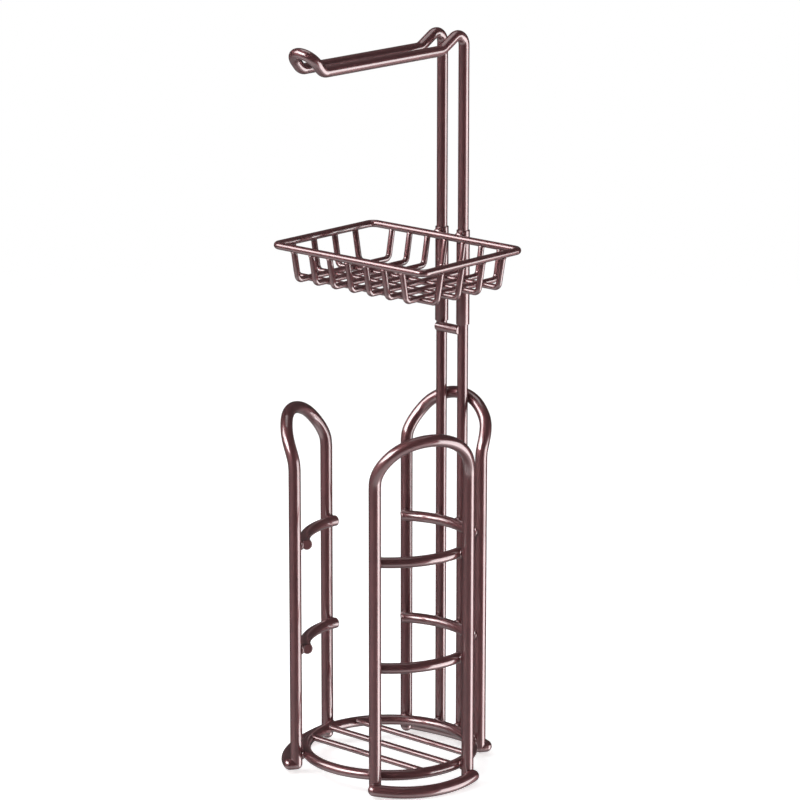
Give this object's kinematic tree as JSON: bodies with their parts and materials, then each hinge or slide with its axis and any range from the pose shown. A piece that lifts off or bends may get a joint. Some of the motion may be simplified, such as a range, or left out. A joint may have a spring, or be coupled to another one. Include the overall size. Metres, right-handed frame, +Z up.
{
  "type": "free-standing toilet roll holder",
  "caption": "Floor-standing toilet roll holder: a tube cage stores spare rolls, a wire basket sits above it and a bent arm holds the roll in use.",
  "frame": {"origin": "on the floor, under the middle of the holder's box", "axes": "+Z up; the arm points to -Y, the front; the mast stands at the back, towards +Y; +X is to the right seen from the front"},
  "size_m": [0.1928, 0.2155, 0.6605],
  "materials": {
    "cage": "polished dark bronze lacquer on steel tube",
    "basket": "polished dark bronze lacquer on steel wire",
    "mast": "polished dark bronze lacquer on steel tube"
  },
  "bodies": {
    "base": {"base_ring": "cage", "hoop_right": "cage", "hoop_back": "cage", "hoop_left": "cage", "cross_bar_right_lower": "cage", "cross_bar_right_upper": "cage", "cross_bar_back_lower": "cage", "cross_bar_back_upper": "cage", "cross_bar_left_lower": "cage", "cross_bar_left_upper": "cage", "floor_wire_1": "cage", "floor_wire_2": "cage", "floor_wire_3": "cage", "post_left": "cage", "post_right": "cage", "stop_bar": "cage"},
    "basket": {"basket_rim": "basket", "cross_wire_1": "basket", "cross_wire_2": "basket", "cross_wire_3": "basket", "cross_wire_4": "basket", "cross_wire_5": "basket", "cross_wire_6": "basket", "cross_wire_7": "basket", "long_wire_1": "basket", "long_wire_2": "basket", "long_wire_3": "basket", "long_wire_4": "basket", "sleeve_left": "basket", "sleeve_right": "basket"},
    "mast": {"mast": "mast"}
  },
  "joints": [
    {"name": "basket_lift", "type": "slide", "parent": "base", "child": "basket", "axis": [0, 0, 1], "range_m": [0, 0.06]},
    {"name": "mast_lift", "type": "slide", "parent": "basket", "child": "mast", "axis": [0, 0, 1], "range_m": [0, 0.06]}
  ]
}
